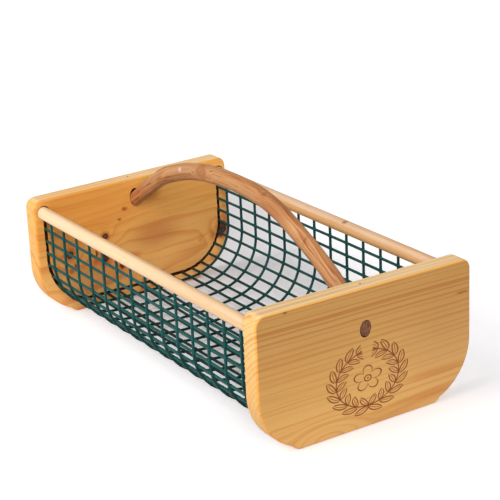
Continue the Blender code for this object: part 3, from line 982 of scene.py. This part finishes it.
def handle_placings():
    """Sections of the whole handle, from one flush tenon end to the other."""
    bow = []
    steps_each = 5
    steps = (len(BOW_STATION_SHARES) - 1) * steps_each
    for step in range(1, steps):
        centre = bow_point(step / steps_each)
        heading = bow_point((step + 0.6) / steps_each) - bow_point((step - 0.6) / steps_each)
        tenon = TENONS[1 if centre.x > 0 else -1]
        share = min((INNER_X - abs(centre.x)) / tenon["taper"], 1)
        swell = (1 - math.cos(math.pi * share)) / 2
        width = tenon["width"] + (HANDLE_WIDTH - tenon["width"]) * swell
        depth = tenon["depth"] + (HANDLE_DEPTH - tenon["depth"]) * swell
        bow.append(oval_placing(centre, heading, width, depth))
    return tenon_placings(-1)[::-1] + bow + tenon_placings(1)


def handle_mesh(sides=40):
    """The bent stick, a little squared and uneven, with its grain marked along the bend."""
    shape = bmesh.new()
    placings = handle_placings()
    sweep(shape, placings, sides)
    mark = shape.verts.layers.float_vector.new("grain")
    shape.verts.ensure_lookup_table()
    run = 0.0
    for number, placing in enumerate(placings):
        if number:
            run += (placing.translation - placings[number - 1].translation).length
        across, upward = placing.col[0].to_3d(), placing.col[1].to_3d()
        outside = abs(placing.translation.x) > INNER_X - MM
        for vert in shape.verts[number * sides:(number + 1) * sides]:
            offset = vert.co - placing.translation
            side_share = offset.dot(across) / across.length_squared
            up_share = offset.dot(upward) / upward.length_squared
            angle = math.atan2(up_share, side_share)
            vert[mark] = (run, offset.dot(across.normalized()), offset.dot(upward.normalized()))
            if outside:
                continue
            squared = 1 + HANDLE_SQUARING * (1 - math.cos(4 * angle)) / 2
            lump = noise.noise(Vector((run * 22, math.cos(angle) * 0.9, math.sin(angle) * 0.9)))
            facet = HANDLE_FACETS * math.cos(9 * angle + run * 25)
            vert.co = placing.translation + offset * (squared + HANDLE_LUMPS * lump + facet)
    return make_mesh("carrying_handle", shape)


def rail_mesh(side):
    """A dowel that ends just short of the bottoms of its sockets."""
    shape = bmesh.new()
    half_length = INNER_X + SOCKET_DEPTH - RAIL_END_GAP
    placing = Matrix.Translation((0, side * RAIL_Y, RAIL_Z)) @ ALONG_X
    rod(shape, 64, RAIL_RADIUS, 2 * half_length, placing)
    ease_rims(shape, 0, RAIL_EASING, 2)
    return make_mesh("rail", shape)


def kerf_shape(side):
    """The saw kerf along a rail's underside, which takes the tops of the cross wires."""
    shape = bmesh.new()
    height = RAIL_RADIUS + KERF_OVERRUN
    middle = Vector((0, side * RAIL_Y, RAIL_Z - height / 2))
    size = Matrix.Diagonal((2 * HALF_LENGTH, KERF_WIDTH, height, 1))
    bmesh.ops.create_cube(shape, size=1, matrix=Matrix.Translation(middle) @ size)
    return shape


# Basket


QUARTER = LONG_WIRE_BEND * math.pi / 2
HALF_RUN = BASKET_CORNER_Y + QUARTER + FIRST_ROW_Z - BASKET_CORNER_Z
ROW_PITCH = 2 * HALF_RUN / (LONG_WIRES - 1)


def sag(x, y):
    """How far the basket hangs lower at a place, most of all in the middle of its floor."""
    last = len(FLOOR_SAGS) - 3
    place = min(max((y / FLOOR_HALF_WIDTH + 1) * last / 2, 0), last - 0.001)
    middle = between(*FLOOR_SAGS[int(place):int(place) + 4], place % 1) * MM
    middle *= (1 - FLOOR_SAG_FADE * (x / INNER_X) ** 2) * (abs(y) < FLOOR_HALF_WIDTH)
    front = smooth_share(y, *FRONT_SAG_Y)
    drop = FLOOR_DROP * smooth_share(y, FLOOR_HALF_WIDTH, FLOOR_DROP_Y) * (1 - front)
    return middle + drop + (FRONT_SAG + FRONT_SAG_SLOPE * x) * front


def settling(place):
    """How far off a place on the even basket lies in the sagging one."""
    share = smooth_share(place.x, *FRONT_TUCK_X) * smooth_share(place.y, *FRONT_TUCK_Y)
    share *= smooth_share(place.z, *FRONT_TUCK_Z)
    return Vector((0, *FRONT_TUCK)) * share - Vector((0, 0, sag(place.x, place.y)))


def basket_point(run, outset):
    """Y and Z on the basket's U, and the outward direction there.

    The run is measured along the long wires' layer from the middle of the floor.
    """
    side = math.copysign(1, run)
    run = abs(run)
    if run <= BASKET_CORNER_Y:
        y, z, out = run, BASKET_CORNER_Z - LONG_WIRE_BEND, Vector((0, -1))
    elif run <= BASKET_CORNER_Y + QUARTER:
        angle = (run - BASKET_CORNER_Y) / LONG_WIRE_BEND
        out = Vector((math.sin(angle), -math.cos(angle)))
        y = BASKET_CORNER_Y + LONG_WIRE_BEND * out.x
        z = BASKET_CORNER_Z + LONG_WIRE_BEND * out.y
    else:
        y = BASKET_CORNER_Y + LONG_WIRE_BEND
        z = BASKET_CORNER_Z + run - BASKET_CORNER_Y - QUARTER
        out = Vector((1, 0))
    point = Vector((y, z)) + out * outset
    return Vector((0, side * point.x, point.y)), Vector((0, side * out.x, out.y))


def row_run(row):
    """Where a long wire crosses the U, counted from 0 at the front."""
    place = row - (LONG_WIRES - 1) / 2
    on_floor = smooth_share(abs(place), FLOOR_ROWS + 1, FLOOR_ROWS)
    pitch = ROW_PITCH + (FLOOR_ROW_PITCH - ROW_PITCH) * on_floor
    return place * pitch + ROW_SHIFT * (1 - on_floor)


def cross_wire_x(number):
    """Where a cross wire lies along the hod, counted from 0 at the left."""
    return (number - (CROSS_WIRES - 1) / 2) * CROSS_WIRE_SPACING + BASKET_SHIFT


def weld_stations(crossings, start, end):
    """Runs and radii along a wire: the coating swells where the wires cross."""
    stations = [(start, WIRE_RADIUS)]
    for number, crossing in enumerate(crossings):
        if number:
            gap = (crossings[number - 1] + crossing) / 2
            stations.append((gap, WIRE_RADIUS))
        for share in (-1, -0.5, 0, 0.5, 1):
            swell = (1 + math.cos(math.pi * share)) / 2
            radius = WIRE_RADIUS + (WELD_RADIUS - WIRE_RADIUS) * swell
            stations.append((crossing + share * WELD_HALF_LENGTH, radius))
    stations.append((end, WIRE_RADIUS))
    return stations


def round_placing(centre, heading, across, radius):
    """Placing of a unit circle as a wire's section."""
    columns = (across * radius, heading.cross(across) * radius, heading)
    return Matrix.Translation(centre) @ Matrix(columns).transposed().to_4x4()


def cross_wire_mesh(number):
    """One U-shaped wire."""
    shape = bmesh.new()
    x = cross_wire_x(number)
    top = BASKET_CORNER_Y + QUARTER + CROSS_WIRE_TOP_Z - BASKET_CORNER_Z
    placings = []
    for run, radius in weld_stations([row_run(row) for row in range(LONG_WIRES)], -top, top):
        point, out = basket_point(run, LAYER_STEP)
        stray = noise.noise(Vector((number * 3.1, run * 30, 0))) * CROSS_WIRE_STRAY
        heading = Vector((0, -out.z, out.y))
        place = point + Vector((x, 0, 0))
        centre = place + settling(place) + Vector((stray, 0, 0))
        placings.append(round_placing(centre, heading, Vector((1, 0, 0)), radius))
    sweep(shape, placings, WIRE_SIDES)
    return make_mesh("cross_wire", shape)


def long_wire_mesh(row):
    """One straight wire, its ends seated in the boards' grooves."""
    shape = bmesh.new()
    point = basket_point(row_run(row), 0)[0]
    crossings = [cross_wire_x(number) for number in range(CROSS_WIRES)]
    placings = []
    for run, radius in weld_stations(crossings, -LONG_WIRE_HALF_LENGTH, LONG_WIRE_HALF_LENGTH):
        stray = noise.noise_vector(Vector((run * 14, row * 2.7, 0))) * LONG_WIRE_STRAY
        place = point + Vector((run, 0, 0))
        centre = place + settling(place) + Vector((0, stray.y, stray.z))
        placings.append(round_placing(centre, Vector((1, 0, 0)), Vector((0, 1, 0)), radius))
    sweep(shape, placings, WIRE_SIDES)
    return make_mesh("long_wire", shape)


# Pieces


def build_boards():
    sawn = shaded_sawn_pine("shaded sawn groove pine")
    far = board_pine("knotty pine", FAR_PINE)
    near = board_pine("straight pine", NEAR_PINE, leaf_wreath)
    for name, side, wood in (("left_end_board", -1, far), ("right_end_board", 1, near)):
        mesh = make_mesh(name, board_shape(side * BOARD_MIDDLE_X, TOP_RISES[name]))
        cutters = [(shape, sawn) for shape in (groove_shape(side), *hole_shapes(side))]
        dress(name, "_pine", mesh, [wood, sawn], cutters)


def build_rails():
    sawn = shaded_sawn_pine("shaded sawn kerf dowel")
    for name, side, tones in (("front_rail", -1, FRONT_DOWEL), ("back_rail", 1, BACK_DOWEL)):
        wood = dowel_wood(name.replace("_", " ") + " dowel", tones)
        kerf = [(kerf_shape(side), sawn)]
        dress(name, "_dowel", rail_mesh(side), [wood, sawn], kerf)


def build_handle():
    wood = handle_wood("bent hardwood streaks")
    dress("carrying_handle", "_stick", handle_mesh(), [wood])


def build_brads():
    steel = brad_steel("rusted brad steel")
    for name in ("left_handle_brad", "right_handle_brad"):
        low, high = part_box(name)
        shape = bmesh.new()
        rod(shape, 16, BRAD_RADIUS, high.z - low.z, Matrix.Translation((low + high) / 2))
        ease_rims(shape, 2, BRAD_EASING, 2)
        dress(name, "_pin", make_mesh(name, shape), [steel])


def build_basket():
    coating = coated_wire("green wire coating")
    layers = (
        ("cross_wire", CROSS_WIRES, cross_wire_mesh), ("long_wire", LONG_WIRES, long_wire_mesh))
    for layer, count, wire_mesh in layers:
        for number in range(count):
            name = f"{layer}_{number + 1:02d}"
            dress(name, "_coated", wire_mesh(number), [coating])


# Studio


def shown_rays(finish):
    """1 for the rays that show the background, seen straight, in gloss or through glass."""
    rays = finish.node("LightPath", {}, {})
    return rays[0].math('MAXIMUM', rays[3]).math('MAXIMUM', rays[6])


def build_floor():
    """A pale lilac paper that turns white for the camera, less so in a painted shade patch
    under and behind the hod.
    """
    shape = bmesh.new()
    just_under = Matrix.Translation((0, 0, -FLOOR_GAP))
    bmesh.ops.create_grid(
        shape, x_segments=1, y_segments=1, size=FLOOR_HALF_SIZE, matrix=just_under)
    finish = new_finish("studio floor paper")
    x, y = finish.split(finish.place())[:2]
    # Painted shade: a soft patch under and behind the hod where the paper keeps less of its
    # glow
    to_back = finish.fade(y + x * SHADE_BACK_SLOPE, *SHADE_BACK_Y)
    from_left = finish.step(x + y * SHADE_LEFT_SLOPE, *SHADE_LEFT_X)
    to_right = finish.fade(x, *SHADE_RIGHT_X)
    easing = 1 - finish.step(x, *SHADE_EASING_X) * SHADE_EASING
    shade = finish.step(y, *SHADE_FRONT_Y) * to_back * from_left * to_right * easing
    paper = finish.node("BsdfDiffuse", {}, {"Color": (0.80, 0.79, 0.82, 1)})[0]
    glow = finish.node("Emission", {}, {"Color": (1, 1, 1, 1), "Strength": FLOOR_GLOW})[0]
    bright = finish.node("AddShader", {}, {0: paper, 1: glow})[0]
    lit = shown_rays(finish) * (1 - shade)
    shown = finish.node("MixShader", {}, {0: lit, 1: paper, 2: bright})[0]
    finish.node("OutputMaterial", {}, {0: shown})
    floor = add_piece("studio_floor", make_mesh("studio floor", shape), [finish.owner])


def build_world():
    """A dim even sky over white walls low down."""
    world = bpy.data.worlds.new("studio")
    bpy.context.scene.world = world
    finish = Finish(world)
    height = finish.split(finish.place())[2]
    strength = SKY_LIGHT + finish.fade(height, *WALL_FADE) * (1 - SKY_LIGHT)
    sky = finish.node("Background", {}, {"Color": (1, 1, 1, 1), "Strength": strength})[0]
    finish.node("OutputWorld", {}, {0: sky})


def build_lights():
    """Broad soft lamps, each turned towards the hod."""
    for name, (direction, strength, spread, colour) in LAMPS.items():
        lamp = bpy.data.lights.new(name, 'SUN')
        lamp.energy = strength
        lamp.angle = math.radians(spread)
        lamp.color = colour
        turned = Vector(direction).to_track_quat('Z', 'Y').to_euler()
        add_object(name, lamp).rotation_euler = turned


def build_camera():
    """The photograph's view."""
    azimuth, elevation, roll = (math.radians(angle) for angle in CAMERA_ANGLES)
    level = Vector((math.cos(azimuth), math.sin(azimuth), 0))
    ahead = Vector((-math.sin(azimuth), math.cos(azimuth), 0))
    back = math.sin(elevation) * Vector((0, 0, 1)) - math.cos(elevation) * ahead
    rise = back.cross(level)
    right = math.cos(roll) * level + math.sin(roll) * rise
    upward = math.cos(roll) * rise - math.sin(roll) * level
    eye = Vector(CAMERA_AIM) + back * CAMERA_BACK + right * CAMERA_RIGHT + upward * CAMERA_UP
    camera = bpy.data.cameras.new("photo view")
    camera.sensor_width = SENSOR_WIDTH
    camera.lens = SENSOR_WIDTH * FOCAL_PIXELS / PICTURE_WIDTH
    camera.clip_end = CLIP_END
    holder = add_object("photo_view", camera)
    turned = Matrix((right, upward, back)).transposed().to_4x4()
    holder.matrix_world = Matrix.Translation(eye) @ turned
    bpy.context.scene.camera = holder


build_camera()
build_world()
build_lights()
build_floor()
build_boards()
build_rails()
build_handle()
build_brads()
build_basket()
bpy.context.scene.view_settings.view_transform = 'Standard'
